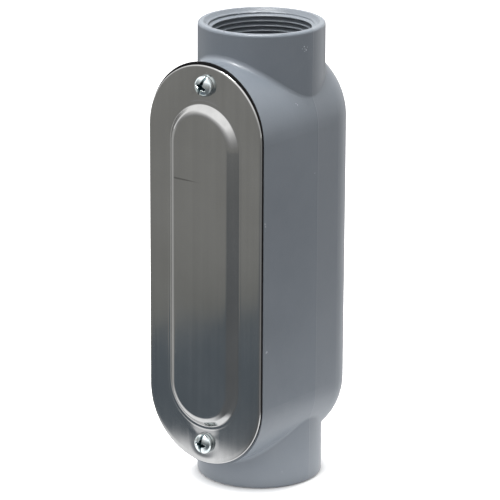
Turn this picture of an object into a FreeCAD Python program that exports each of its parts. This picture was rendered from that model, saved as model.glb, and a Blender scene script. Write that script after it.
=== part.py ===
import FreeCAD, Part
import os
import math

# Conduit body, type C: a die-cast aluminium housing with a tapped hub at each
# end of a straight run, and an obround front opening that is closed by a
# gasket and a stamped cover held by two screws.
# Frame: origin at the middle of the lower hub's face, +Z along the run to the
# upper hub, the cover faces -Y, +X to the right seen from the front.
# All lengths are in millimetres.

os.makedirs("parts", exist_ok=True)

V = FreeCAD.Vector

# ---------------------------------------------------------------- dimensions
# whole casting
LENGTH = 209.8            # face to face of the hubs
Z_MID = LENGTH / 2.0

# hubs, trade size 1-1/2 (pipe 48.26 outside)
HUB_R = 28.3              # outside radius
HUB_EDGE_R = 1.3          # rounded outer edge of the hub's face
THREAD_ROOT_R = 24.0      # wall behind the pipe thread
THREAD_END = 20.5         # depth of the thread's end from the face
MOUTH_R = 25.8            # countersink at the face
MOUTH_DEPTH = 2.0
THROAT_R = 20.2           # smooth bushing behind the thread
THROAT_EDGE_R = 2.2       # its rounded inner edge
HUB_INSIDE = 27.5         # depth of the hub's inner end from the face
HUB_BOSS_R = 27.0         # hub's outside inside the housing

# housing outline (obround) at the front rim, the parting plane and the back
RIM_Y = -38.45            # plane of the front rim
RIM_HALF_W = 31.4
PART_Y = 0.0              # die parting plane, on the run's axis
PART_HALF_W = 31.65
BACK_HALF_W = 31.35       # before the back edge is rounded
BACK_Y = 33.1
BACK_EDGE_R = 18.0
ARC_OFF = 60.5            # centre of each end's arc from the middle
SHOULDER_FILLET = 2.5     # between hub and housing

# inside of the housing
WALL = 3.2
CAV_HALF_W = 27.9         # opening at the rim
CAV_HALF_W_BACK = 27.5
BOSS_R = 6.2              # screw bosses at the ends of the opening
BOSS_HOLE_R = 2.41        # tapped hole, number 10 screw
BOSS_HOLE_DEPTH = 11.6

# gasket
GASKET_T = 0.9
GASKET_HALF_W = 31.5
GASKET_ARC_OFF = 60.8
GASKET_LIFT = 1.7         # it lies this much high on the rim
GASKET_BAND = 4.6
GASKET_LOBE_R = 6.6
GASKET_HOLE_R = 3.9       # loose round the screws

# cover
PLATE_T = 1.1
COVER_HALF_W = 31.1
COVER_HALF_L = 91.45
COVER_LIFT = 0.7          # the cover sits this much high of the middle
PANEL_HALF_W = 19.4       # foot of the raised panel
PANEL_HALF_L = 74.35
PANEL_SLOPE = 5.35        # width of the panel's S-shaped edge
PANEL_H = 3.15            # height of the panel
PANEL_BEND_R = 1.9        # bends of the S, on the sheet's outer side
COVER_EDGE_R = 0.45
COVER_HOLE_R = 2.9

# screws, number 10-24 pan head
SCREW_Z_OFF = 82.35       # from the cover's middle
HEAD_R = 4.75
HEAD_H = 3.3
SHAFT_R = 2.36
SHAFT_L = 12.2
SLOT_W = 1.25
SLOT_D = 1.25
CROSS_W = 1.15
CROSS_D = 1.9
CROSS_L = 5.0

# derived planes
GASKET_Y = RIM_Y - GASKET_T          # gasket's front, cover's back
COVER_Y = GASKET_Y - PLATE_T         # cover's front face
COVER_Z = Z_MID + COVER_LIFT
GASKET_Z = Z_MID + GASKET_LIFT
SCREW_ZS = (COVER_Z + SCREW_Z_OFF, COVER_Z - SCREW_Z_OFF)


# ------------------------------------------------------------------- helpers
def obround_wire(half_w, arc_off, y, zc):
    """Closed obround outline in a plane of constant y."""
    a = V(half_w, y, zc - arc_off)
    b = V(half_w, y, zc + arc_off)
    c = V(-half_w, y, zc + arc_off)
    d = V(-half_w, y, zc - arc_off)
    top = V(0, y, zc + arc_off + half_w)
    bot = V(0, y, zc - arc_off - half_w)
    return Part.Wire([
        Part.makeLine(a, b),
        Part.Arc(b, top, c).toShape(),
        Part.makeLine(c, d),
        Part.Arc(d, bot, a).toShape(),
    ])


def obround_prism(half_w, arc_off, y0, y1, zc):
    """Straight prism between two planes of constant y."""
    face = Part.Face(obround_wire(half_w, arc_off, y0, zc))
    return face.extrude(V(0, y1 - y0, 0))


def obround_draft(w0, y0, w1, y1, arc_off, zc):
    """Ruled solid between two obrounds: the draft of a casting."""
    return Part.makeLoft([obround_wire(w0, arc_off, y0, zc),
                          obround_wire(w1, arc_off, y1, zc)], True, True)


def cyl_z(r, z0, z1, x=0.0, y=0.0):
    return Part.makeCylinder(r, z1 - z0, V(x, y, z0), V(0, 0, 1))


def cyl_y(r, y0, y1, x=0.0, z=0.0):
    """Cylinder from y0 towards +Y to y1."""
    return Part.makeCylinder(r, y1 - y0, V(x, y0, z), V(0, 1, 0))


def edges_on(shape, test):
    out = []
    for e in shape.Edges:
        n = 7
        f, l = e.FirstParameter, e.LastParameter
        pts = [e.valueAt(f + (l - f) * i / (n - 1)) for i in range(n)]
        if all(test(p) for p in pts):
            out.append(e)
    return out


def mirror_z(shape):
    return shape.mirror(V(0, 0, Z_MID), V(0, 0, 1))


# ---------------------------------------------------------------------- body
# outer form: two drafted halves that meet on the parting plane
front = obround_draft(RIM_HALF_W, RIM_Y, PART_HALF_W, PART_Y, ARC_OFF, Z_MID)
back = obround_draft(PART_HALF_W, PART_Y, BACK_HALF_W, BACK_Y, ARC_OFF, Z_MID)
back = back.makeFillet(BACK_EDGE_R,
                       edges_on(back, lambda p: abs(p.y - BACK_Y) < 1e-6))
housing = front.fuse(back)

# upper half with its hub, blended at the shoulder, then mirrored
upper = housing.common(Part.makeBox(300, 300, LENGTH, V(-150, -150, Z_MID)))
hub_solid = cyl_z(HUB_R, Z_MID + 30.0, LENGTH)
hub_solid = hub_solid.makeFillet(HUB_EDGE_R, edges_on(
    hub_solid, lambda p: abs(p.z - LENGTH) < 1e-6))
hub_solid.rotate(V(0, 0, 0), V(0, 0, 1), -90)
upper = upper.fuse(hub_solid)


def on_shoulder(p):
    """True on the line where the hub leaves the housing."""
    return (abs(math.hypot(p.x, p.y) - HUB_R) < 1e-3
            and Z_MID + 50.0 < p.z < LENGTH - HUB_EDGE_R - 1.0)


def is_upright(e):
    a, b = e.valueAt(e.FirstParameter), e.valueAt(e.LastParameter)
    return abs(a.x - b.x) < 1e-6 and abs(a.y - b.y) < 1e-6


shoulder = [e for e in edges_on(upper, on_shoulder) if not is_upright(e)]
upper = upper.makeFillet(SHOULDER_FILLET, shoulder)
outer = upper.fuse(mirror_z(upper)).removeSplitter()
print("outer valid", outer.isValid(), "volume", round(outer.Volume),
      "solids", len(outer.Solids))

# cavity: an obround pocket, drafted, with a rounded floor edge
cavity = obround_draft(CAV_HALF_W, RIM_Y - 2.0, CAV_HALF_W_BACK, BACK_Y - WALL,
                       ARC_OFF, Z_MID)
cavity = cavity.makeFillet(BACK_EDGE_R - WALL, edges_on(
    cavity, lambda p: abs(p.y - (BACK_Y - WALL)) < 1e-6))
# the hubs reach into it, and so do the screw bosses
inner_hub = cyl_z(HUB_BOSS_R, -1.0, HUB_INSIDE)
cavity = cavity.cut(inner_hub).cut(mirror_z(inner_hub))
# the cavity keeps clear of the end walls beyond the hubs' inner ends
for zs, sgn in zip(SCREW_ZS, (1, -1)):
    boss = cyl_y(BOSS_R, RIM_Y - 3.0, -HUB_BOSS_R + 6.0, 0.0, zs)
    web = Part.makeBox(2 * BOSS_R, -HUB_BOSS_R + 6.0 - (RIM_Y - 3.0), 30.0,
                       V(-BOSS_R, RIM_Y - 3.0, zs if sgn > 0 else zs - 30.0))
    cavity = cavity.cut(boss).cut(web)
body = outer.cut(cavity)

# bore of each hub: countersunk mouth, thread wall, rounded bushing
p = [V(0, 0, -1.0), V(MOUTH_R, 0, -1.0), V(MOUTH_R, 0, 0.0),
     V(THREAD_ROOT_R, 0, MOUTH_DEPTH), V(THREAD_ROOT_R, 0, THREAD_END),
     V(THROAT_R, 0, THREAD_END + 1.0)]
inner_z = HUB_INSIDE - THROAT_EDGE_R
q0 = V(THROAT_R, 0, inner_z)
q1 = V(THROAT_R + THROAT_EDGE_R * (1 - math.cos(math.pi / 4)), 0,
       inner_z + THROAT_EDGE_R * math.sin(math.pi / 4))
q2 = V(THROAT_R + THROAT_EDGE_R, 0, HUB_INSIDE)
q3 = V(THROAT_R + THROAT_EDGE_R, 0, HUB_INSIDE + 1.0)
q4 = V(0, 0, HUB_INSIDE + 1.0)
bore_wire = Part.Wire([Part.makeLine(p[i], p[i + 1]) for i in range(5)] +
                      [Part.makeLine(p[5], q0), Part.Arc(q0, q1, q2).toShape(),
                       Part.makeLine(q2, q3), Part.makeLine(q3, q4),
                       Part.makeLine(q4, p[0])])
bore = Part.Face(bore_wire).revolve(V(0, 0, 0), V(0, 0, 1), 360)
body = body.cut(bore).cut(mirror_z(bore))

# tapped holes of the cover screws
for zs in SCREW_ZS:
    body = body.cut(cyl_y(BOSS_HOLE_R, RIM_Y - 1.0, RIM_Y + BOSS_HOLE_DEPTH, 0.0, zs))

# -------------------------------------------------------------------- gasket
gasket = obround_prism(GASKET_HALF_W, GASKET_ARC_OFF, GASKET_Y, RIM_Y, GASKET_Z)
g_open = obround_prism(GASKET_HALF_W - GASKET_BAND, GASKET_ARC_OFF,
                       GASKET_Y - 1, RIM_Y + 1, GASKET_Z)
for zs, sgn in zip(SCREW_ZS, (1, -1)):
    lobe = cyl_y(GASKET_LOBE_R, GASKET_Y - 2, RIM_Y + 2, 0.0, zs)
    tab = Part.makeBox(2 * GASKET_LOBE_R, RIM_Y - GASKET_Y + 4, 30.0,
                       V(-GASKET_LOBE_R, GASKET_Y - 2, zs if sgn > 0 else zs - 30.0))
    g_open = g_open.cut(lobe).cut(tab)
gasket = gasket.cut(g_open)
for zs in SCREW_ZS:
    gasket = gasket.cut(cyl_y(GASKET_HOLE_R, GASKET_Y - 1, RIM_Y + 1, 0.0, zs))

# --------------------------------------------------------------------- cover
# the panel's edge is an S: two bends joined by a straight flank; the sheet
# keeps its thickness through it
def s_profile(r_foot, r_head, width, height):
    """Flank angle and the points of an S of given width and height."""
    rs = r_foot + r_head
    # solve rs*sin(a) + l*cos(a) = width, rs*(1-cos(a)) + l*sin(a) = height
    lo, hi = 0.01, 1.5
    for _ in range(80):
        a = 0.5 * (lo + hi)
        l = (width - rs * math.sin(a)) / math.cos(a)
        if rs * (1 - math.cos(a)) + l * math.sin(a) > height:
            hi = a
        else:
            lo = a
    return a, l


def panel_profile(half_w, y_out):
    """Section of the raised sheet from its middle to its foot, in XY."""
    ro_foot = PANEL_BEND_R                # concave outside, at the foot
    ro_head = PANEL_BEND_R + PLATE_T      # convex outside, at the head
    a, l = s_profile(ro_foot, ro_head, PANEL_SLOPE, PANEL_H)
    s, c = math.sin(a), math.cos(a)

    def side(y0, rf, rh):
        # y0: level of the flange on this side of the sheet; outward is -Y
        x_foot = half_w
        x_head = half_w - PANEL_SLOPE
        foot_c = V(x_foot, y0 - rf, 0)
        head_c = V(x_head, y0 - PANEL_H + rh, 0)
        f0 = V(x_foot, y0, 0)
        fm = V(x_foot - rf * math.sin(a / 2), y0 - rf + rf * math.cos(a / 2), 0)
        f1 = V(x_foot - rf * s, y0 - rf + rf * c, 0)
        h1 = V(x_head + rh * s, y0 - PANEL_H + rh - rh * c, 0)
        hm = V(x_head + rh * math.sin(a / 2), y0 - PANEL_H + rh - rh * math.cos(a / 2), 0)
        h0 = V(x_head, y0 - PANEL_H, 0)
        return f0, fm, f1, h1, hm, h0

    o = side(y_out, ro_foot, ro_head)
    i = side(y_out + PLATE_T, ro_foot + PLATE_T, ro_head - PLATE_T)
    m_o = V(0, o[5].y, 0)
    m_i = V(0, i[5].y, 0)
    edges = [Part.Arc(o[0], o[1], o[2]).toShape(), Part.makeLine(o[2], o[3]),
             Part.Arc(o[3], o[4], o[5]).toShape(), Part.makeLine(o[5], m_o),
             Part.makeLine(m_o, m_i), Part.makeLine(m_i, i[5]),
             Part.Arc(i[5], i[4], i[3]).toShape(), Part.makeLine(i[3], i[2]),
             Part.Arc(i[2], i[1], i[0]).toShape(), Part.makeLine(i[0], o[0])]
    return Part.Face(Part.Wire(edges)), a


prof, flank = panel_profile(PANEL_HALF_W, COVER_Y)
print("panel flank angle", round(math.degrees(flank), 1))
p_off = PANEL_HALF_L - PANEL_HALF_W
half = prof.copy()
half.translate(V(0, 0, COVER_Z - p_off))
straight = half.extrude(V(0, 0, 2 * p_off))
straight = straight.fuse(straight.mirror(V(0, 0, 0), V(1, 0, 0)))
end = prof.copy()
end.translate(V(0, 0, COVER_Z + p_off))
end = end.revolve(V(0, 0, COVER_Z + p_off), V(0, 1, 0), -180)
end2 = end.mirror(V(0, 0, COVER_Z), V(0, 0, 1))
panel = straight.fuse([end, end2])

c_off = COVER_HALF_L - COVER_HALF_W
plate = obround_prism(COVER_HALF_W, c_off, COVER_Y, GASKET_Y, COVER_Z)
plate = plate.makeFillet(COVER_EDGE_R, edges_on(plate, lambda p: abs(p.y - COVER_Y) < 1e-6))
plate = plate.cut(obround_prism(PANEL_HALF_W, p_off, COVER_Y - 1, GASKET_Y + 1, COVER_Z))
cover = plate.fuse(panel)
for zs in SCREW_ZS:
    cover = cover.cut(cyl_y(COVER_HOLE_R, COVER_Y - 1, GASKET_Y + 1, 0.0, zs))
cover = cover.removeSplitter()


# -------------------------------------------------------------------- screws
def screw(zs, turn_deg):
    """Pan head with a slot and a cross, on a plain shaft; the head is -Y."""
    # head: domed top on a short straight side, revolved about the axis
    side_h = 1.1
    rise = HEAD_H - side_h
    flat_r = 1.6
    h0 = V(0, 0, 0)
    h1 = V(HEAD_R, 0, 0)
    h2 = V(HEAD_R, -side_h, 0)
    ang = math.radians(45)
    hm = V(flat_r + (HEAD_R - flat_r) * math.sin(math.radians(52)),
           -side_h - rise * math.cos(math.radians(52)), 0)
    h3 = V(flat_r, -HEAD_H, 0)
    h4 = V(0, -HEAD_H, 0)
    head = Part.Face(Part.Wire([
        Part.makeLine(h0, h1), Part.makeLine(h1, h2),
        Part.Arc(h2, hm, h3).toShape(), Part.makeLine(h3, h4),
        Part.makeLine(h4, h0)])).revolve(V(0, 0, 0), V(0, 1, 0), 360)
    shaft = cyl_y(SHAFT_R, 0.0, SHAFT_L)
    tip = [e for e in edges_on(shaft, lambda p: abs(p.y - SHAFT_L) < 1e-6)]
    shaft = shaft.makeChamfer(0.6, tip)
    s = head.fuse(shaft)
    slot = Part.makeBox(SLOT_W, SLOT_D + 1, 2 * HEAD_R + 2,
                        V(-SLOT_W / 2, -HEAD_H - 1, -HEAD_R - 1))
    # cross recess: two tapering wings
    wings = []
    for k in (0, 1):
        top = [V(-CROSS_L / 2, 0, -CROSS_W / 2), V(CROSS_L / 2, 0, -CROSS_W / 2),
               V(CROSS_L / 2, 0, CROSS_W / 2), V(-CROSS_L / 2, 0, CROSS_W / 2)]
        bot = [V(v.x * 0.42, 0, v.z * 0.62) for v in top]
        t = Part.makePolygon([V(v.x, -HEAD_H - 0.02, v.z) for v in top] +
                             [V(top[0].x, -HEAD_H - 0.02, top[0].z)])
        b = Part.makePolygon([V(v.x, -HEAD_H + CROSS_D, v.z) for v in bot] +
                             [V(bot[0].x, -HEAD_H + CROSS_D, bot[0].z)])
        w = Part.makeLoft([t, b], True, True)
        if k:
            w.rotate(V(0, 0, 0), V(0, 1, 0), 90)
        wings.append(w)
    s = s.cut(slot).cut(wings[0]).cut(wings[1])
    s.rotate(V(0, 0, 0), V(0, 1, 0), turn_deg)
    s.translate(V(0, COVER_Y, zs))
    return s


nodes = {
    "body": body,
    "gasket": gasket,
    "cover": cover,
    "screw_upper": screw(SCREW_ZS[0], 24.0),
    "screw_lower": screw(SCREW_ZS[1], 6.0),
}

for name, shape in nodes.items():
    solids = shape.Solids
    if len(solids) != 1:
        print("WARNING", name, "has", len(solids), "solids")
    s = solids[0] if len(solids) == 1 else shape
    bb = s.BoundBox
    print(name, "valid", s.isValid(), "volume %.1f" % s.Volume,
          "x %.2f..%.2f y %.2f..%.2f z %.2f..%.2f" %
          (bb.XMin, bb.XMax, bb.YMin, bb.YMax, bb.ZMin, bb.ZMax))
    s.exportStep(os.path.join("parts", name + ".step"))
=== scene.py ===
import math
import bpy
import bmesh
import numpy as np
from mathutils import Matrix, Vector, noise


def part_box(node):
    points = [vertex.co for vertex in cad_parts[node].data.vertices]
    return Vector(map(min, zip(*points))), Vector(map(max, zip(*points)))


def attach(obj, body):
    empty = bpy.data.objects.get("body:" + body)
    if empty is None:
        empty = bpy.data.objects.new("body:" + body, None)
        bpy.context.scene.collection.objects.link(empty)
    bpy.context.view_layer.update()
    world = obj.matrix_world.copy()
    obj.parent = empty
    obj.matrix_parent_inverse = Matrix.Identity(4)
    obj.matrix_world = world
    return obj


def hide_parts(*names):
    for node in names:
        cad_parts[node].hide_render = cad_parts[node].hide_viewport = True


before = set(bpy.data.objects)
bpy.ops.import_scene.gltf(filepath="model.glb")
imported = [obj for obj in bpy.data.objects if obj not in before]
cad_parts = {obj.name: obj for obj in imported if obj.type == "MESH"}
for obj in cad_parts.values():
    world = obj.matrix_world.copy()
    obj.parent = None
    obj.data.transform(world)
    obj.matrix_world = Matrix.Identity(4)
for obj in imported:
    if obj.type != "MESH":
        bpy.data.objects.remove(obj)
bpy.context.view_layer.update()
scene = bpy.context.scene
MM = 0.001

# ------------------------------------------------------------------ CAD sizes
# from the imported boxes, in metres
body_lo, body_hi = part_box("body")
cover_lo, cover_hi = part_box("cover")
gask_lo, gask_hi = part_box("gasket")
scr_lo = {"upper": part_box("screw_upper")[0], "lower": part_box("screw_lower")[0]}
scr_hi = {"upper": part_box("screw_upper")[1], "lower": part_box("screw_lower")[1]}
LENGTH = body_hi.z
SCREW_Z = {k: 0.5 * (scr_lo[k].z + scr_hi[k].z) for k in scr_lo}
GASKET_Y = gask_lo.y                   # gasket's front face, cover's back
PLATE_T = 1.1 * MM
COVER_Y = GASKET_Y - PLATE_T           # cover's front face
PANEL_Y = cover_lo.y                   # raised panel's front
COVER_Z = 0.5 * (SCREW_Z["upper"] + SCREW_Z["lower"])
COVER_HW = cover_hi.x
COVER_HL = 91.45 * MM
PANEL_HW, PANEL_HL = 19.4 * MM, 74.35 * MM
PANEL_SLOPE, PANEL_H = 5.35 * MM, COVER_Y - PANEL_Y


# -------------------------------------------------------------------- helpers
def mesh_object(name, verts, faces, mat, smooth=True):
    me = bpy.data.meshes.new(name)
    me.from_pydata([tuple(v) for v in verts], [], faces)
    me.validate(clean_customdata=False)
    me.materials.append(mat)
    me.polygons.foreach_set("use_smooth", [smooth] * len(me.polygons))
    me.update()
    ob = bpy.data.objects.new(name, me)
    scene.collection.objects.link(ob)
    return ob


def merge(ob, dist):
    bm = bmesh.new()
    bm.from_mesh(ob.data)
    bmesh.ops.remove_doubles(bm, verts=bm.verts, dist=dist)
    bmesh.ops.dissolve_degenerate(bm, edges=bm.edges, dist=dist * 0.5)
    bmesh.ops.recalc_face_normals(bm, faces=bm.faces)
    bm.to_mesh(ob.data)
    bm.free()
    ob.data.update()


def sharp_by_angle(ob, deg):
    ob.data.polygons.foreach_set("use_smooth", [True] * len(ob.data.polygons))
    ob.data.set_sharp_from_angle(angle=math.radians(deg))
    ob.data.update()


def smoothstep(a, b, x):
    t = np.clip((np.asarray(x, float) - a) / (b - a), 0.0, 1.0)
    return t * t * (3 - 2 * t)


def fbm(x, y, z, scale, octaves=3, seed=0.0):
    v, amp, s = 0.0, 1.0, 1.0 / scale
    for _ in range(octaves):
        v += amp * noise.noise(Vector((x * s + seed, y * s - seed, z * s + 2.3 * seed)))
        amp *= 0.5
        s *= 2.0
    return v


# ------------------------------------------------------------------ materials
def new_mat(name):
    m = bpy.data.materials.new(name)
    m.use_nodes = True
    nt = m.node_tree
    nt.nodes.clear()
    out = nt.nodes.new("ShaderNodeOutputMaterial")
    bsdf = nt.nodes.new("ShaderNodeBsdfPrincipled")
    nt.links.new(bsdf.outputs[0], out.inputs[0])
    return m, nt, bsdf


def node(nt, kind, **props):
    n = nt.nodes.new(kind)
    for k, v in props.items():
        setattr(n, k, v)
    return n


def coords(nt, scale=(1, 1, 1), loc=(0, 0, 0)):
    tc = node(nt, "ShaderNodeTexCoord")
    mp = node(nt, "ShaderNodeMapping")
    mp.inputs["Scale"].default_value = scale
    mp.inputs["Location"].default_value = loc
    nt.links.new(tc.outputs["Object"], mp.inputs["Vector"])
    return mp.outputs["Vector"]


def noise_tex(nt, vec, scale, detail=3.0, rough=0.5, distortion=0.0):
    n = node(nt, "ShaderNodeTexNoise")
    nt.links.new(vec, n.inputs["Vector"])
    n.inputs["Scale"].default_value = scale
    n.inputs["Detail"].default_value = detail
    n.inputs["Roughness"].default_value = rough
    n.inputs["Distortion"].default_value = distortion
    return n


def ramp(nt, fac, stops, interp="LINEAR"):
    r = node(nt, "ShaderNodeValToRGB")
    r.color_ramp.interpolation = interp
    els = r.color_ramp.elements
    while len(els) < len(stops):
        els.new(0.5)
    for e, (p, c) in zip(els, stops):
        e.position = p
        e.color = c if len(c) == 4 else (*c, 1)
    nt.links.new(fac, r.inputs["Fac"])
    return r


def maprange(nt, val, a, b, c, d, kind="LINEAR"):
    n = node(nt, "ShaderNodeMapRange", interpolation_type=kind)
    nt.links.new(val, n.inputs["Value"])
    for k, v in zip(("From Min", "From Max", "To Min", "To Max"), (a, b, c, d)):
        n.inputs[k].default_value = v
    return n.outputs["Result"]


def mix_col(nt, fac, a, b, blend="MIX"):
    n = node(nt, "ShaderNodeMix", data_type="RGBA", blend_type=blend)
    if isinstance(fac, float):
        n.inputs[0].default_value = fac
    else:
        nt.links.new(fac, n.inputs[0])
    for s, v in ((6, a), (7, b)):
        if isinstance(v, tuple):
            n.inputs[s].default_value = v if len(v) == 4 else (*v, 1)
        else:
            nt.links.new(v, n.inputs[s])
    return n.outputs[2]


def math_node(nt, op, a, b=None, clamp=False):
    n = node(nt, "ShaderNodeMath", operation=op, use_clamp=clamp)
    for i, v in enumerate((a, b)):
        if v is None:
            continue
        if isinstance(v, (int, float)):
            n.inputs[i].default_value = v
        else:
            nt.links.new(v, n.inputs[i])
    return n.outputs[0]


def bump(nt, height, strength, distance, normal=None):
    n = node(nt, "ShaderNodeBump")
    n.inputs["Strength"].default_value = strength
    n.inputs["Distance"].default_value = distance
    nt.links.new(height, n.inputs["Height"])
    if normal is not None:
        nt.links.new(normal, n.inputs["Normal"])
    return n.outputs["Normal"]


# specks of grit and chipped coat: x, y, z, radius, all in mm
SPECKS = ((27.75, -5.55, 203.1, 0.38), (27.86, -5.02, 202.0, 0.22), (27.92, -4.35, 201.4, 0.42), (27.70, -5.10, 200.9, 0.26),
          (27.58, -6.55, 202.2, 0.22), (27.96, -3.70, 202.6, 0.18), (28.53, -12.19, 178.9, 0.34), (28.90, -11.50, 178.3, 0.30),
          (24.60, -17.00, 179.4, 0.42), (31.45, -37.60, 130.6, 0.42), (31.45, -37.30, 129.3, 0.36), (31.45, -37.20, 127.4, 0.24),
          (31.42, -35.65, 71.60, 0.46), (31.42, -36.30, 71.20, 0.36), (29.40, -20.00, 183.2, 0.26), (31.60, -2.00, 145.9, 0.24))


def paint_material():
    m, nt, b = new_mat("housing_powder_coat")
    v = coords(nt)
    cloud = noise_tex(nt, v, 35.0, 3.0, 0.55)
    mottle = noise_tex(nt, v, 160.0, 3.0, 0.6)
    peel = noise_tex(nt, v, 900.0, 2.0, 0.5)
    grain = noise_tex(nt, v, 3800.0, 1.0, 0.5)
    cast = noise_tex(nt, v, 120.0, 2.0, 0.5)
    base = ramp(nt, cloud.outputs["Fac"], [(0.30, (0.120, 0.138, 0.160)), (0.70, (0.134, 0.153, 0.176))])
    col = mix_col(nt, maprange(nt, grain.outputs["Fac"], 0.35, 0.65, 0.0, 1.0), base.outputs["Color"], (0.149, 0.168, 0.194), "MIX")
    col = mix_col(nt, 0.35, base.outputs["Color"], col)
    col = mix_col(nt, maprange(nt, mottle.outputs["Fac"], 0.42, 0.75, 0.0, 0.30), col, (0.150, 0.166, 0.186))
    sp = node(nt, "ShaderNodeSeparateXYZ")
    nt.links.new(v, sp.inputs[0])
    # the die's parting line: a hair of flash, and painted light on the rear half, a shade lighter, for the shading
    # change at the draft angle
    ywob = math_node(nt, "ADD", sp.outputs["Y"], math_node(nt, "MULTIPLY", math_node(nt, "SUBTRACT", cast.outputs["Fac"], 0.5), 0.0004))
    draft_shade_mask = maprange(nt, ywob, -0.0003, 0.0003, 0.0, 1.0)
    col = mix_col(nt, math_node(nt, "MULTIPLY", draft_shade_mask, 0.22), col, (0.178, 0.190, 0.205))
    flash = maprange(nt, math_node(nt, "ABSOLUTE", ywob), 0.00008, 0.00032, 1.0, 0.0, "SMOOTHSTEP")
    # specks
    wob = noise_tex(nt, v, 2600.0, 2.0, 0.6)
    grit = None
    for x, y, z, r in SPECKS:
        d = node(nt, "ShaderNodeVectorMath", operation="DISTANCE")
        nt.links.new(v, d.inputs[0])
        d.inputs[1].default_value = (x * MM, y * MM, z * MM)
        q = math_node(nt, "ADD", d.outputs["Value"], math_node(nt, "MULTIPLY", math_node(nt, "SUBTRACT", wob.outputs["Fac"], 0.5), 0.0008))
        f = maprange(nt, q, 0.45 * r * MM, 1.0 * r * MM, 1.0, 0.0, "SMOOTHSTEP")
        grit = f if grit is None else math_node(nt, "MAXIMUM", grit, f)
    # sparse dust over the whole coat
    dust = node(nt, "ShaderNodeTexVoronoi")
    nt.links.new(v, dust.inputs["Vector"])
    dust.inputs["Scale"].default_value = 210.0
    dust.inputs["Randomness"].default_value = 1.0
    pick = math_node(nt, "MULTIPLY", maprange(nt, dust.outputs["Distance"], 0.020, 0.040, 1.0, 0.0),
                     maprange(nt, mottle.outputs["Fac"], 0.56, 0.60, 0.0, 1.0))
    spot = math_node(nt, "MAXIMUM", math_node(nt, "MULTIPLY", grit, 0.85), math_node(nt, "MULTIPLY", pick, 0.40))
    col = mix_col(nt, spot, col, (0.46, 0.49, 0.52))
    nt.links.new(col, b.inputs["Base Color"])
    nt.links.new(maprange(nt, cloud.outputs["Fac"], 0.3, 0.7, 0.36, 0.44), b.inputs["Roughness"])
    b.inputs["Specular IOR Level"].default_value = 0.5
    h = math_node(nt, "ADD", math_node(nt, "MULTIPLY", peel.outputs["Fac"], 0.6),
                  math_node(nt, "MULTIPLY", grain.outputs["Fac"], 0.18))
    h2 = math_node(nt, "ADD", grit, flash)
    n1 = bump(nt, cast.outputs["Fac"], 0.10, 0.0006)
    n2 = bump(nt, h, 0.22, 0.00012, n1)
    n3 = bump(nt, h2, 0.35, 0.00012, n2)
    nt.links.new(n3, b.inputs["Normal"])
    return m


def cover_material():
    m, nt, b = new_mat("cover_sheet_aluminium")
    v = coords(nt)
    streak = noise_tex(nt, coords(nt, (900.0, 900.0, 9.0)), 1.0, 3.0, 0.6)
    fine = noise_tex(nt, coords(nt, (4200.0, 4200.0, 55.0)), 1.0, 2.0, 0.6)
    smudge = noise_tex(nt, v, 28.0, 4.0, 0.55)
    col = ramp(nt, smudge.outputs["Fac"], [(0.3, (0.475, 0.475, 0.470)), (0.7, (0.525, 0.525, 0.520))])
    sp = node(nt, "ShaderNodeSeparateXYZ")
    nt.links.new(v, sp.inputs[0])
    # a dark rub across the panel, thick at its left end
    zl = math_node(nt, "ABSOLUTE", math_node(nt, "SUBTRACT", sp.outputs["Z"], 0.14490))
    wide = maprange(nt, sp.outputs["X"], -0.0145, -0.0010, 0.00055, 0.00020)
    rub = maprange(nt, math_node(nt, "DIVIDE", zl, wide), 0.2, 1.2, 1.0, 0.0, "SMOOTHSTEP")
    rub = math_node(nt, "MULTIPLY", rub, maprange(nt, sp.outputs["X"], -0.0150, -0.0142, 0.0, 1.0))
    rub = math_node(nt, "MULTIPLY", rub, maprange(nt, sp.outputs["X"], -0.0080, 0.0010, 0.62, 0.0))
    base = mix_col(nt, rub, col.outputs["Color"], (0.10, 0.10, 0.095))
    bands = noise_tex(nt, coords(nt, (330.0, 330.0, 5.0)), 1.0, 2.0, 0.5)
    base = mix_col(nt, maprange(nt, bands.outputs["Fac"], 0.35, 0.70, 0.0, 0.30), base, (0.42, 0.42, 0.42))
    nt.links.new(base, b.inputs["Base Color"])
    b.inputs["Metallic"].default_value = 1.0
    r0 = maprange(nt, streak.outputs["Fac"], 0.3, 0.7, -0.025, 0.025)
    r1 = maprange(nt, smudge.outputs["Fac"], 0.35, 0.7, 0.12, 0.17)
    nt.links.new(math_node(nt, "ADD", r0, r1), b.inputs["Roughness"])
    n1 = bump(nt, fine.outputs["Fac"], 0.10, 0.00004)
    nt.links.new(n1, b.inputs["Normal"])
    return m


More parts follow.
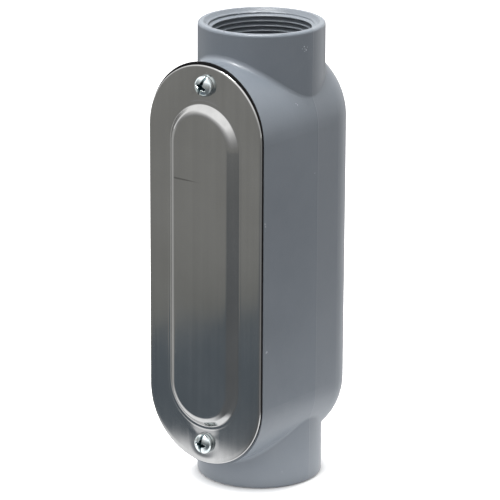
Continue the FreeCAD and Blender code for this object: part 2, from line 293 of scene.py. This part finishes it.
def zinc_material(name, zs, turn):
    """Bright zinc, with painted shade down in the driver recess: darker and bluish there."""
    m, nt, b = new_mat(name)
    v = coords(nt)
    a = noise_tex(nt, v, 700.0, 3.0, 0.55)
    g = noise_tex(nt, v, 4000.0, 2.0, 0.5)
    col = ramp(nt, a.outputs["Fac"], [(0.3, (0.60, 0.70, 0.72)), (0.55, (0.76, 0.82, 0.83)), (0.75, (0.84, 0.86, 0.85))])
    sp = node(nt, "ShaderNodeSeparateXYZ")
    nt.links.new(v, sp.inputs[0])
    X = math_node(nt, "MULTIPLY", sp.outputs["X"], 1000.0)
    Z = math_node(nt, "MULTIPLY", math_node(nt, "SUBTRACT", sp.outputs["Z"], zs), 1000.0)
    Y = math_node(nt, "MULTIPLY", math_node(nt, "SUBTRACT", COVER_Y, sp.outputs["Y"]), 1000.0)
    ca, sa = math.cos(turn), math.sin(turn)
    x = math_node(nt, "ABSOLUTE", math_node(nt, "SUBTRACT", math_node(nt, "MULTIPLY", X, ca), math_node(nt, "MULTIPLY", Z, sa)))
    z = math_node(nt, "ABSOLUTE", math_node(nt, "ADD", math_node(nt, "MULTIPLY", X, sa), math_node(nt, "MULTIPLY", Z, ca)))
    # painted shade: the slot and cross recess darkened, more so further down
    recess_shade_mask = math_node(nt, "MULTIPLY", maprange(nt, x, 0.46, 0.60, 1.0, 0.0, "SMOOTHSTEP"), 0.8)
    for p, q in ((x, z), (z, x)):
        arm = math_node(nt, "MULTIPLY", maprange(nt, q, 0.45, 0.95, 1.0, 0.0, "SMOOTHSTEP"), maprange(nt, p, 1.7, 2.7, 1.0, 0.0, "SMOOTHSTEP"))
        recess_shade_mask = math_node(nt, "MAXIMUM", recess_shade_mask, arm)
    r2 = math_node(nt, "ADD", math_node(nt, "MULTIPLY", X, X), math_node(nt, "MULTIPLY", Z, Z))
    top = math_node(nt, "SUBTRACT", 3.29, math_node(nt, "MULTIPLY", r2, 0.078))
    deep = maprange(nt, math_node(nt, "SUBTRACT", top, Y), 0.12, 0.75, 0.0, 1.0, "SMOOTHSTEP")
    recess_shade_mask = math_node(nt, "MULTIPLY", recess_shade_mask, deep)
    recess_shade_mask = math_node(nt, "MULTIPLY", recess_shade_mask, maprange(nt, Y, 0.6, 0.9, 0.0, 1.0))
    dark = ramp(nt, g.outputs["Fac"], [(0.38, (0.030, 0.060, 0.068)), (0.60, (0.16, 0.24, 0.26))])
    nt.links.new(mix_col(nt, recess_shade_mask, col.outputs["Color"], dark.outputs["Color"]), b.inputs["Base Color"])
    b.inputs["Metallic"].default_value = 1.0
    nt.links.new(maprange(nt, a.outputs["Fac"], 0.3, 0.7, 0.10, 0.20), b.inputs["Roughness"])
    nt.links.new(bump(nt, g.outputs["Fac"], 0.12, 0.00005), b.inputs["Normal"])
    return m


def rubber_material():
    m, nt, b = new_mat("gasket_rubber_sheet")
    v = coords(nt)
    a = noise_tex(nt, v, 260.0, 3.0, 0.55)
    g = noise_tex(nt, v, 2600.0, 2.0, 0.5)
    col = ramp(nt, a.outputs["Fac"], [(0.3, (0.004, 0.004, 0.0045)), (0.7, (0.009, 0.009, 0.0095))])
    nt.links.new(col.outputs["Color"], b.inputs["Base Color"])
    nt.links.new(maprange(nt, g.outputs["Fac"], 0.3, 0.7, 0.62, 0.80), b.inputs["Roughness"])
    b.inputs["Specular IOR Level"].default_value = 0.08
    nt.links.new(bump(nt, g.outputs["Fac"], 0.25, 0.00008), b.inputs["Normal"])
    return m


PAINT = paint_material()
SHEET = cover_material()
RUBBER = rubber_material()


# ---------------------------------------------------------------------- body
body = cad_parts["body"]
body.data.materials[0] = PAINT


# ------------------------------------------------------------- hub threads
PITCH = 25.4 / 11.5 * MM
ROOT0, CREST0 = 24.03 * MM, 22.26 * MM     # radii at the face
TAPER = 1.0 / 32.0
LINER_R = 24.55 * MM
TH_START, TH_END = 1.31 * MM, 20.45 * MM
# foot of the countersink: a sharp edge, a narrow groove, then the first thread
LIP_D = np.array([1.31, 1.38, 1.82, 1.88, 1.94, 2.10, 2.22, 2.50, 2.62]) * MM
LIP_R = np.array([24.66, 24.53, 23.66, 23.62, 23.68, 23.97, 23.95, 23.10, 0.0]) * MM


def thread_radius(depth, theta):
    """Inner radius of the tapped wall: a 60 degree V with small flats."""
    ph = (depth / PITCH + theta / (2 * math.pi) + 0.385) % 1.0
    tri = 1.0 - np.abs(2.0 * ph - 1.0)            # 0 at root, 1 at crest
    w = np.clip((tri - 0.12) / (0.82 - 0.12), 0.0, 1.0)
    w = w * w * (3 - 2 * w) * 0.25 + w * 0.75
    # the last threads run out
    fade = 1.0 - smoothstep(TH_END - 2.4 * PITCH, TH_END - 0.3 * PITCH, depth)
    r = ROOT0 - TAPER * depth - w * (ROOT0 - CREST0) * fade
    return np.maximum(r, np.interp(depth, LIP_D, LIP_R))


def hub_thread(name, upper):
    nth = 168
    th = np.linspace(0, 2 * math.pi, nth, endpoint=False)
    dp = np.concatenate([LIP_D[:7], np.linspace(2.32 * MM, TH_END, 138)])
    nz = len(dp)
    verts, faces = [], []
    for d in dp:
        for t in th:
            r = float(thread_radius(d, t))
            sgn = 1.0 if upper else -1.0
            z = LENGTH - d if upper else d
            # right-hand thread seen from either end
            verts.append((r * math.cos(-sgn * t), r * math.sin(-sgn * t), z))
    for d, r in ((TH_END, LINER_R), (TH_START, LINER_R + 1.6 * MM)):
        for t in th:
            sgn = 1.0 if upper else -1.0
            z = LENGTH - d if upper else d
            verts.append((r * math.cos(-sgn * t), r * math.sin(-sgn * t), z))
    rows = nz + 2
    for i in range(rows):
        a, b = i * nth, ((i + 1) % rows) * nth
        for j in range(nth):
            k = (j + 1) % nth
            faces.append((a + j, a + k, b + k, b + j))
    ob = mesh_object(name, verts, faces, PAINT)
    bm = bmesh.new(); bm.from_mesh(ob.data)
    bmesh.ops.recalc_face_normals(bm, faces=bm.faces)
    bm.to_mesh(ob.data); bm.free()
    sharp_by_angle(ob, 70)
    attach(ob, "housing")
    return ob


hub_thread("hub_thread_upper", True)
hub_thread("hub_thread_lower", False)


# --------------------------------------------------------------------- cover
def ring_points(r, off, n_arc, n_str):
    """Closed obround ring: x, z relative to the cover's middle."""
    pts = []
    for k in range(n_arc):
        a = math.pi * k / n_arc
        pts.append((r * math.cos(a), off + r * math.sin(a)))
    for k in range(n_str):
        pts.append((-r, off - 2 * off * k / n_str))
    for k in range(n_arc):
        a = math.pi + math.pi * k / n_arc
        pts.append((r * math.cos(a), -off + r * math.sin(a)))
    for k in range(n_str):
        pts.append((r, -off + 2 * off * k / n_str))
    return pts


def s_curve(rf, rh, width, height, n=7):
    """Points (u, v) of an S from the foot (0, 0) to the head (width, height)."""
    rs = rf + rh
    lo, hi = 0.01, 1.5
    for _ in range(80):
        a = 0.5 * (lo + hi)
        l = (width - rs * math.sin(a)) / math.cos(a)
        if rs * (1 - math.cos(a)) + l * math.sin(a) > height:
            hi = a
        else:
            lo = a
    pts = [(rf * math.sin(a * t / n), rf * (1 - math.cos(a * t / n))) for t in range(n + 1)]
    x1, y1 = pts[-1]
    for t in range(1, 4):
        pts.append((x1 + l * math.cos(a) * t / 4, y1 + l * math.sin(a) * t / 4))
    pts += [(width - rh * math.sin(a * (n - t) / n), height - rh * (1 - math.cos(a * (n - t) / n)))
            for t in range(n + 1)]
    return pts


C_OFF = COVER_HL - COVER_HW
P_OFF = PANEL_HL - PANEL_HW


def ring_off(r):
    if r <= PANEL_HW:
        return P_OFF
    return P_OFF + (C_OFF - P_OFF) * (r - PANEL_HW) / (COVER_HW - PANEL_HW)


def sheet_shift(x, z):
    """Small bow and waviness of the real sheet: + is towards the housing."""
    s = 0.030 * MM * fbm(x, 0.0, z, 0.045, 2, 3.1)
    s += 0.010 * MM * fbm(x, 0.0, z, 0.012, 2, 7.7)
    return s


def pulled_in(x, z):
    """Front of the sheet drawn in under each screw, creased out to the panel's foot."""
    s = 0.0
    for zs in SCREW_Z.values():
        dz = zs - (COVER_Z + z)
        w = (dz if zs > COVER_Z else -dz) / MM        # towards the panel
        u = abs(x) / MM
        if w < 0:
            d = math.hypot(u, w) - 5.2
        else:
            d = u - (5.2 + 0.62 * max(0.0, w - 3.6))
        if zs > COVER_Z:
            edge = 1.0 - float(smoothstep(-1.0, 2.6, d))
            deep = 0.32
            fall = 1.0 - float(np.clip((w - 4.6) / 3.6, 0.0, 1.0))
        else:
            edge = 1.0 - float(smoothstep(-1.2, 3.4, d))
            deep = 0.24
            fall = 1.0 - float(smoothstep(3.2, 8.4, w))
        s = max(s, deep * MM * edge * fall)
    return s


def build_cover():
    n_arc, n_str = 150, 70
    rf, rh = 0.9 * MM, 4.3 * MM
    prof = []          # (ring radius, y) from the middle of the front outwards
    for r in (0.0, 2.5, 5.0, 7.5, 10.0, 12.5):
        prof.append((r * MM, PANEL_Y))
    out = s_curve(rf, rh, PANEL_SLOPE, PANEL_H)
    for u, v in reversed(out):
        prof.append((PANEL_HW - u, COVER_Y - v))
    for r in list(np.arange(19.55, 20.8, 0.12)) + list(np.arange(21.0, 29.5, 0.44)):
        # the sheet stands up a little round the pressed panel
        prof.append((r * MM, COVER_Y - 0.055 * MM * math.exp(-((r - 20.05) / 0.32) ** 2)))
    # edge drawn over by the blanking tool
    for u, v in ((0.48, 0.0), (0.42, 0.012), (0.34, 0.05), (0.22, 0.14), (0.11, 0.26), (0.03, 0.38), (0.0, 0.48)):
        prof.append((COVER_HW - u * MM, COVER_Y + v * MM))
    prof.append((COVER_HW, GASKET_Y - 0.12 * MM))
    prof.append((COVER_HW - 0.12 * MM, GASKET_Y))
    n_front = len(prof) - 2
    for r in (29.6, 28.0, 26.0, 24.0, 22.2, 20.6):
        prof.append((r * MM, GASKET_Y))
    inn = s_curve(rf + PLATE_T, rh - PLATE_T, PANEL_SLOPE, PANEL_H)
    for u, v in inn:
        prof.append((PANEL_HW - u, GASKET_Y - v))
    for r in (12.5, 10.0, 7.5, 5.0, 2.5, 0.0):
        prof.append((r * MM, PANEL_Y + PLATE_T))
    verts, faces = [], []
    n = 2 * (n_arc + n_str)
    for i, (r, y) in enumerate(prof):
        for x, z in ring_points(r, ring_off(r), n_arc, n_str):
            dish = pulled_in(x, z) if i < n_front and r > PANEL_HW else 0.0
            verts.append((x, y + sheet_shift(x, z) + dish, COVER_Z + z))
    for i in range(len(prof) - 1):
        for j in range(n):
            k = (j + 1) % n
            faces.append((i * n + j, i * n + k, (i + 1) * n + k, (i + 1) * n + j))
    ob = mesh_object("cover_plate", verts, faces, SHEET)
    merge(ob, 2e-6)
    # screw holes
    for zs in SCREW_Z.values():
        bm = bmesh.new()
        bmesh.ops.create_cone(bm, cap_ends=True, segments=48, radius1=2.9 * MM, radius2=2.9 * MM,
                              depth=6 * MM, matrix=Matrix.Translation((0, COVER_Y, zs)) @ Matrix.Rotation(math.pi / 2, 4, "X"))
        cm = bpy.data.meshes.new("cut"); bm.to_mesh(cm); bm.free()
        co = bpy.data.objects.new("cut", cm); scene.collection.objects.link(co)
        md = ob.modifiers.new("hole", "BOOLEAN"); md.operation = "DIFFERENCE"; md.object = co; md.solver = "EXACT"
        dg = bpy.context.evaluated_depsgraph_get()
        me = bpy.data.meshes.new_from_object(ob.evaluated_get(dg))
        ob.modifiers.clear()
        old = ob.data; ob.data = me; bpy.data.meshes.remove(old)
        bpy.data.objects.remove(co); bpy.data.meshes.remove(cm)
    ob.data.name = "cover_plate"
    sharp_by_angle(ob, 40)
    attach(ob, "cover")
    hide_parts("cover")
    return ob


cover = build_cover()


# -------------------------------------------------------------------- gasket
def build_gasket():
    hw, off, zc = 31.22 * MM, 60.70 * MM, 0.5 * (gask_lo.z + gask_hi.z) - 0.25 * MM
    band, lobe, hole = 4.6 * MM, 6.6 * MM, 3.9 * MM
    cu = bpy.data.curves.new("gasket_sheet", "CURVE")
    cu.dimensions = "2D"
    cu.fill_mode = "BOTH"
    cu.bevel_depth = 0.16 * MM
    cu.bevel_resolution = 3
    cu.extrude = 0.45 * MM - 0.16 * MM

    def spline(pts):
        sp = cu.splines.new("POLY")
        sp.points.add(len(pts) - 1)
        for p, (x, z) in zip(sp.points, pts):
            p.co = (x, z, 0, 1)
        sp.use_cyclic_u = True

    outer = []
    for x, z in ring_points(hw - 0.16 * MM, off, 90, 60):
        w = 0.10 * MM * fbm(x, 1.0, z, 0.03, 3, 1.7)
        s = 1.0 - max(0.0, w) / hw
        outer.append((x * s, z * s))
    spline(outer)
    # inner outline with a lobe round each screw
    r = hw - band + 0.16 * MM
    inner = []
    for x, z in ring_points(r, off, 120, 60):
        for zs in SCREW_Z.values():
            dz = (zs - zc)
            # tab between the screw's circle and the end of the band
            if abs(x) < lobe and z * dz > 0:
                tip = abs(dz) - math.sqrt(max(0.0, lobe ** 2 - x ** 2))
                z = math.copysign(min(abs(z), tip), dz)
        inner.append((x, z))
    spline(inner)
    for zs in SCREW_Z.values():
        spline([(hole * math.cos(2 * math.pi * k / 40), zs - zc + hole * math.sin(2 * math.pi * k / 40))
                for k in range(40)])
    co = bpy.data.objects.new("gasket_curve", cu)
    scene.collection.objects.link(co)
    bpy.context.view_layer.update()
    me = bpy.data.meshes.new_from_object(co)
    bpy.data.objects.remove(co)
    me.transform(Matrix.Translation((0, 0.5 * (gask_lo.y + gask_hi.y), zc)) @ Matrix.Rotation(math.pi / 2, 4, "X"))
    me.materials.clear()
    me.materials.append(RUBBER)
    ob = bpy.data.objects.new("gasket_sheet", me)
    scene.collection.objects.link(ob)
    merge(ob, 1e-6)
    sharp_by_angle(ob, 50)
    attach(ob, "cover")
    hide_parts("gasket")
    return ob


build_gasket()


# -------------------------------------------------------------------- screws
def recess_depth(x, z):
    """Depth of the slot and cross recess below the head's top, at head coordinates."""
    d = 0.95 * (1 - smoothstep(0.46, 0.62, abs(x)))
    for p, q in ((abs(x), abs(z)), (abs(z), abs(x))):
        # a wing with sloping walls, narrower and shallower outwards
        wide = 1.12 - 0.16 * p
        d = max(d, 2.15 * float(np.clip((wide - q) / 0.62, 0.0, 1.0)) * float(np.clip((2.95 - p) / 1.25, 0.0, 1.0)))
    return float(d)


def build_screw(name, node_name, which, turn):
    """Pan head with slot and cross, and a rolled thread; head coordinates in mm."""
    R, H, side = 4.75, 3.3, 0.42
    zs = SCREW_Z[which]
    verts, faces = [], []
    nth = 200
    radii = [0.0] + list(np.linspace(0.06, 3.6, 60)) + list(np.linspace(3.66, 4.35, 12))
    # round dome, a little flattened
    def dome(r):
        return min(H - 0.01, side + (H - side) * math.sqrt(max(0.0, 1.0 - min(r / R, 1.0) ** 2.35)))

    rows = []
    for r in radii:
        rows.append([(r, dome(r))] )
    under = -0.26 if which == "upper" else -0.14
    prof_side = [(4.50, dome(4.50)), (4.62, dome(4.62)), (4.70, dome(4.70)), (4.74, dome(4.74)), (4.75, side - 0.05), (4.745, under + 0.14), (4.70, under + 0.04), (4.60, under),
                 (3.6, under), (2.36, under)]
    ca, sa = math.cos(turn), math.sin(turn)

    def put(x, y, z):
        # head coordinates: x, z in the head's plane turned about the axis, y outward
        X, Z = ca * x + sa * z, -sa * x + ca * z
        return (X * MM, COVER_Y - y * MM, zs + Z * MM)

    ring0 = len(verts)
    first = True
    rings = []
    for (r, y), in rows:
        ring = []
        for j in range(nth):
            t = 2 * math.pi * j / nth
            x, z = r * math.cos(t), r * math.sin(t)
            d = recess_depth(x, z)
            yy = y - d if d > 0 else y
            yy = max(yy, 0.9) if d > 0 else yy
            w = 0.012 * fbm(x + 10 * (which == "lower"), y, z, 1.1, 2, 4.0)
            verts.append(put(x, min(yy + w, H), z)); ring.append(len(verts) - 1)
        rings.append(ring)
    for r, y in prof_side:
        ring = []
        for j in range(nth):
            t = 2 * math.pi * j / nth
            x, z = r * math.cos(t), r * math.sin(t)
            dd = 0.95 * float(1 - smoothstep(0.46, 0.62, abs(x))) if r > 3.6 and y > 0.5 else 0.0
            yy = y
            if dd > 0:
                yy = max(0.5, y - dd)
            verts.append(put(x, yy, z)); ring.append(len(verts) - 1)
        rings.append(ring)
    # rolled thread, pitch 1.058 mm
    pitch, rmaj, rmin, L = 1.058, 2.36, 1.93, 12.2
    nz = 120
    for k in range(nz + 1):
        s = L * k / nz
        ring = []
        for j in range(nth):
            t = 2 * math.pi * j / nth
            ph = (s / pitch - t / (2 * math.pi)) % 1.0
            w = 1 - abs(2 * ph - 1)
            w = float(np.clip((w - 0.12) / 0.76, 0, 1))
            grow = float(smoothstep(0.4, 1.4, s))
            r = rmaj - (rmaj - rmin) * (1 - w) * grow
            tip = float(smoothstep(L - 1.3, L, s))
            r = r - tip * (r - 1.75)
            verts.append(put(r * math.cos(t), -s, r * math.sin(t))); ring.append(len(verts) - 1)
        rings.append(ring)
    ring = []
    for j in range(nth):
        t = 2 * math.pi * j / nth
        verts.append(put(0.9 * math.cos(t), -L, 0.9 * math.sin(t))); ring.append(len(verts) - 1)
    rings.append(ring)
    for a, b in zip(rings[:-1], rings[1:]):
        for j in range(nth):
            k = (j + 1) % nth
            faces.append((a[j], b[j], b[k], a[k]))
    faces.append(tuple(reversed(rings[-1])))
    ob = mesh_object(name, verts, faces, zinc_material("screw_zinc_plate_" + which, zs, turn))
    merge(ob, 1e-6)
    sharp_by_angle(ob, 62)
    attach(ob, node_name)
    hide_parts(node_name)
    return ob


build_screw("cover_screw_upper", "screw_upper", "upper", math.radians(24.0))
build_screw("cover_screw_lower", "screw_lower", "lower", math.radians(6.0))


# --------------------------------------------------------------------- stage
def floor_material():
    m, nt, b = new_mat("studio_floor")
    v = coords(nt)
    a = noise_tex(nt, v, 3.0, 2.0, 0.5)
    col = ramp(nt, a.outputs["Fac"], [(0.3, (0.945, 0.945, 0.945)), (0.7, (0.955, 0.955, 0.953))])
    nt.links.new(col.outputs["Color"], b.inputs["Base Color"])
    b.inputs["Roughness"].default_value = 0.85
    b.inputs["Specular IOR Level"].default_value = 0.1
    b.inputs["Emission Color"].default_value = (1, 1, 1, 1)
    # the floor glows evenly, with a painted contact shadow: the glow fades to none in a ring round the housing's foot
    ln = node(nt, "ShaderNodeVectorMath", operation="LENGTH")
    nt.links.new(v, ln.inputs[0])
    nt.links.new(maprange(nt, ln.outputs["Value"], 0.0275, 0.0340, 0.0, 0.42), b.inputs["Emission Strength"])
    return m


bm = bmesh.new()
bmesh.ops.create_grid(bm, x_segments=8, y_segments=8, size=4.0)
fm = bpy.data.meshes.new("studio_floor")
bm.to_mesh(fm); bm.free()
fm.materials.append(floor_material())
floor = bpy.data.objects.new("studio_floor", fm)
scene.collection.objects.link(floor)
floor.location = (0, 0, -0.00005)


def area(name, loc, target, size, power, col=(1, 1, 1), size_y=None):
    li = bpy.data.lights.new(name, "AREA")
    li.shape = "RECTANGLE"
    li.size = size
    li.size_y = size_y or size
    li.energy = power
    li.color = col
    ob = bpy.data.objects.new(name, li)
    ob.location = loc
    ob.rotation_mode = "QUATERNION"
    ob.rotation_quaternion = (Vector(target) - Vector(loc)).to_track_quat("-Z", "Y")
    scene.collection.objects.link(ob)
    return ob


top = area("softbox_top", (-0.05, -0.10, 1.35), (0, 0, 0.1), 0.55, 1.48, (1.0, 0.998, 0.99))
top.data.spread = math.radians(26)

# dark flag and white table edge that only gloss sees, as a product table gives
def flag_material():
    m = bpy.data.materials.new("studio_flag")
    m.use_nodes = True
    nt = m.node_tree
    nt.nodes.clear()
    out = nt.nodes.new("ShaderNodeOutputMaterial")
    em = nt.nodes.new("ShaderNodeEmission")
    nt.links.new(em.outputs[0], out.inputs[0])
    tcn = node(nt, "ShaderNodeTexCoord")
    sp = node(nt, "ShaderNodeSeparateXYZ")
    nt.links.new(tcn.outputs["Object"], sp.inputs[0])

    def dist(x, y):
        return math_node(nt, "SQRT", math_node(nt, "ADD", math_node(nt, "MULTIPLY", x, x), math_node(nt, "MULTIPLY", y, y)))

    x, y = sp.outputs["X"], sp.outputs["Y"]
    far = dist(x, math_node(nt, "ADD", y, 0.171))
    bright = maprange(nt, y, -0.099, -0.076, 0.0, 1.0, "SMOOTHSTEP")
    slant = math_node(nt, "SUBTRACT", x, math_node(nt, "MULTIPLY", math_node(nt, "ADD", y, 0.045), 0.5))
    bright = math_node(nt, "MULTIPLY", bright, maprange(nt, slant, -0.008, 0.026, 1.0, 0.0, "SMOOTHSTEP"))
    bright = math_node(nt, "MULTIPLY", bright, maprange(nt, x, -0.17, -0.10, 0.0, 1.0, "SMOOTHSTEP"))
    foot = math_node(nt, "MULTIPLY", maprange(nt, dist(x, y), 0.090, 0.115, 1.0, 0.0, "SMOOTHSTEP"),
                     maprange(nt, y, -0.057, -0.049, 0.0, 1.0, "SMOOTHSTEP"))
    bright = math_node(nt, "MAXIMUM", bright, foot)
    warm = maprange(nt, far, 0.160, 0.182, 0.0, 1.0, "SMOOTHSTEP")
    farther = maprange(nt, far, 0.18, 0.34, 0.0, 1.0)
    wcol = mix_col(nt, farther, (0.262, 0.265, 0.252), (0.31, 0.31, 0.297))
    col = mix_col(nt, warm, (0.135, 0.160, 0.185), wcol)
    # by direction round the part: dim to the right front, lighter left, white behind
    ln = math_node(nt, "ADD", dist(x, math_node(nt, "ADD", y, 0.04)), 0.001)
    u = math_node(nt, "DIVIDE", x, ln)
    v = math_node(nt, "DIVIDE", math_node(nt, "ADD", y, 0.04), ln)
    dim = mix_col(nt, maprange(nt, ln, 0.42, 0.85, 0.0, 1.0), (0.152, 0.160, 0.168), (0.285, 0.285, 0.272))
    col = mix_col(nt, maprange(nt, u, -0.56, -0.10, 0.0, 1.0, "SMOOTHSTEP"), col, dim)
    col = mix_col(nt, maprange(nt, u, 0.84, 0.95, 0.0, 1.0, "SMOOTHSTEP"), col, (0.40, 0.40, 0.40))
    col = mix_col(nt, maprange(nt, u, -0.80, -0.93, 0.0, 1.0, "SMOOTHSTEP"), col, (0.58, 0.58, 0.57))
    col = mix_col(nt, maprange(nt, v, 0.25, 0.60, 0.0, 1.0, "SMOOTHSTEP"), col, (0.20, 0.20, 0.20))
    back = math_node(nt, "MULTIPLY", maprange(nt, v, 0.10, 0.50, 0.0, 1.0, "SMOOTHSTEP"), maprange(nt, u, 0.35, -0.05, 0.0, 1.0, "SMOOTHSTEP"))
    col = mix_col(nt, back, col, (0.37, 0.37, 0.37))
    bcol = mix_col(nt, maprange(nt, x, -0.14, -0.045, 0.0, 1.0), (0.56, 0.56, 0.56), (1.34, 1.35, 1.37))
    col = mix_col(nt, bright, col, bcol)
    nt.links.new(col, em.inputs["Color"])
    m.cycles.emission_sampling = "NONE"
    return m


bm = bmesh.new()
bmesh.ops.create_grid(bm, x_segments=2, y_segments=2, size=2.0)
gm = bpy.data.meshes.new("studio_flag")
bm.to_mesh(gm); bm.free()
gm.materials.append(flag_material())
flag = bpy.data.objects.new("studio_flag", gm)
scene.collection.objects.link(flag)
flag.location = (0, 0, 0.0002)
flag.visible_camera = False
flag.visible_diffuse = False
flag.visible_shadow = False
flag.visible_transmission = False
flag.visible_volume_scatter = False


# what gloss finds low down to the front: the dim side of the room behind the camera
def wall_material():
    m = bpy.data.materials.new("studio_wall")
    m.use_nodes = True
    nt = m.node_tree
    nt.nodes.clear()
    out = nt.nodes.new("ShaderNodeOutputMaterial")
    em = nt.nodes.new("ShaderNodeEmission")
    nt.links.new(em.outputs[0], out.inputs[0])
    tcn = node(nt, "ShaderNodeTexCoord")
    nv = node(nt, "ShaderNodeVectorMath", operation="NORMALIZE")
    nt.links.new(tcn.outputs["Object"], nv.inputs[0])
    sp = node(nt, "ShaderNodeSeparateXYZ")
    nt.links.new(nv.outputs["Vector"], sp.inputs[0])
    open_ = ramp(nt, sp.outputs["Z"], [(0.0, (0.72, 0.72, 0.72)), (0.20, (0.80, 0.80, 0.80)), (0.50, (1.0, 1.0, 1.0)), (1.0, (0.98, 0.98, 0.98))])
    dim = ramp(nt, sp.outputs["Z"], [(0.0, (0.19, 0.19, 0.187)), (0.17, (0.25, 0.25, 0.25)), (0.34, (0.40, 0.40, 0.40)),
                                     (0.50, (0.64, 0.64, 0.64)), (0.64, (0.98, 0.98, 0.98)), (1.0, (0.98, 0.98, 0.98))])
    col = mix_col(nt, maprange(nt, sp.outputs["Y"], -0.02, -0.36, 0.0, 1.0, "SMOOTHSTEP"), open_.outputs["Color"], dim.outputs["Color"])
    nt.links.new(col, em.inputs["Color"])
    em.inputs["Strength"].default_value = 1.52
    m.cycles.emission_sampling = "NONE"
    return m


bm = bmesh.new()
prev = None
for k in range(41):
    t = math.radians(-174.0 + 168.0 * k / 40)
    pair = [bm.verts.new((1.9 * math.cos(t), 1.9 * math.sin(t), h)) for h in (0.0, 1.8)]
    if prev:
        bm.faces.new((prev[0], pair[0], pair[1], prev[1]))
    prev = pair
wm = bpy.data.meshes.new("studio_wall")
bm.to_mesh(wm); bm.free()
wm.materials.append(wall_material())
wall = bpy.data.objects.new("studio_wall", wm)
scene.collection.objects.link(wall)
wall.visible_camera = False
wall.visible_diffuse = False
wall.visible_shadow = False
wall.visible_transmission = False
wall.visible_volume_scatter = False


# what diffuse light finds below: a white table round the foot, a dark gap,
# then a pale room
def bounce_material():
    m = bpy.data.materials.new("studio_bounce")
    m.use_nodes = True
    nt = m.node_tree
    nt.nodes.clear()
    out = nt.nodes.new("ShaderNodeOutputMaterial")
    em = nt.nodes.new("ShaderNodeEmission")
    nt.links.new(em.outputs[0], out.inputs[0])
    tcn = node(nt, "ShaderNodeTexCoord")
    ln = node(nt, "ShaderNodeVectorMath", operation="LENGTH")
    nt.links.new(tcn.outputs["Object"], ln.inputs[0])
    far = maprange(nt, ln.outputs["Value"], 0.0, 0.5, 0.0, 1.0)
    col = ramp(nt, far, [(0.0, (0.97, 0.97, 0.97)), (0.15, (0.95, 0.95, 0.95)), (0.18, (0.70, 0.70, 0.70)),
                         (0.25, (0.66, 0.66, 0.66)), (0.28, (0.0, 0.0, 0.0)), (0.50, (0.0, 0.0, 0.0)),
                         (0.56, (0.20, 0.20, 0.20)), (1.0, (0.20, 0.20, 0.20))])
    sp = node(nt, "ShaderNodeSeparateXYZ")
    nt.links.new(tcn.outputs["Object"], sp.inputs[0])
    side = maprange(nt, sp.outputs["X"], -0.02, 0.05, 0.90, 1.42)
    hole = maprange(nt, ln.outputs["Value"], 0.0290, 0.0335, 0.0, 1.0)
    nt.links.new(col.outputs["Color"], em.inputs["Color"])
    nt.links.new(math_node(nt, "MULTIPLY", math_node(nt, "MULTIPLY", side, hole), 2.0), em.inputs["Strength"])
    m.cycles.emission_sampling = "NONE"
    return m


bm = bmesh.new()
bmesh.ops.create_grid(bm, x_segments=2, y_segments=2, size=2.0)
gm2 = bpy.data.meshes.new("studio_bounce")
bm.to_mesh(gm2); bm.free()
gm2.materials.append(bounce_material())
glow = bpy.data.objects.new("studio_bounce", gm2)
scene.collection.objects.link(glow)
glow.location = (0, 0, -0.0004)
glow.visible_camera = False
glow.visible_glossy = False
glow.visible_shadow = False
glow.visible_transmission = False
glow.visible_volume_scatter = False
floor.visible_diffuse = False

world = bpy.data.worlds.new("studio")
scene.world = world
world.use_nodes = True
wn = world.node_tree
wn.nodes.clear()
wo = wn.nodes.new("ShaderNodeOutputWorld")
bg = wn.nodes.new("ShaderNodeBackground")
tc = wn.nodes.new("ShaderNodeTexCoord")
sep = wn.nodes.new("ShaderNodeSeparateXYZ")
wn.links.new(tc.outputs["Generated"], sep.inputs[0])
# even white room
wr = ramp(wn, sep.outputs["Z"], [(0.0, (0.72, 0.72, 0.725)), (0.20, (0.80, 0.80, 0.80)), (0.50, (1.0, 1.0, 1.0)), (1.0, (0.90, 0.90, 0.90))])
shade = math_node(wn, "MULTIPLY", maprange(wn, sep.outputs["X"], 0.15, 0.90, 0.0, 0.38, "SMOOTHSTEP"), 1.0)
wn.links.new(mix_col(wn, shade, wr.outputs["Color"], (0.0, 0.0, 0.0)), bg.inputs["Color"])
bg.inputs["Strength"].default_value = 1.52
wn.links.new(bg.outputs[0], wo.inputs[0])

# ------------------------------------------------------------------- camera
AZ, EL, ROLL, DIST, LENS = 37.76441, 16.92219, 0.262250, 1.553088, 248.6672
TX, TZ = -4.668208 * MM, 103.979282 * MM
az, el, roll = math.radians(AZ), math.radians(EL), math.radians(ROLL)
target = Vector((TX * math.cos(az), TX * math.sin(az), TZ))
back = Vector((math.sin(az) * math.cos(el), -math.cos(az) * math.cos(el), math.sin(el)))
right = Vector((math.cos(az), math.sin(az), 0))
up = right.cross(-back)
r2 = math.cos(roll) * right + math.sin(roll) * up
u2 = -math.sin(roll) * right + math.cos(roll) * up
cam_data = bpy.data.cameras.new("camera")
cam_data.lens = LENS
cam_data.sensor_width = 36.0
cam_data.clip_start, cam_data.clip_end = 0.05, 50.0
cam = bpy.data.objects.new("camera", cam_data)
scene.collection.objects.link(cam)
pos = target + back * DIST
cam.matrix_world = Matrix(((r2.x, u2.x, back.x, pos.x), (r2.y, u2.y, back.y, pos.y),
                           (r2.z, u2.z, back.z, pos.z), (0, 0, 0, 1)))
scene.camera = cam

scene.view_settings.view_transform = "Standard"
scene.view_settings.look = "None"
scene.view_settings.exposure = 0.0
scene.view_settings.gamma = 1.0
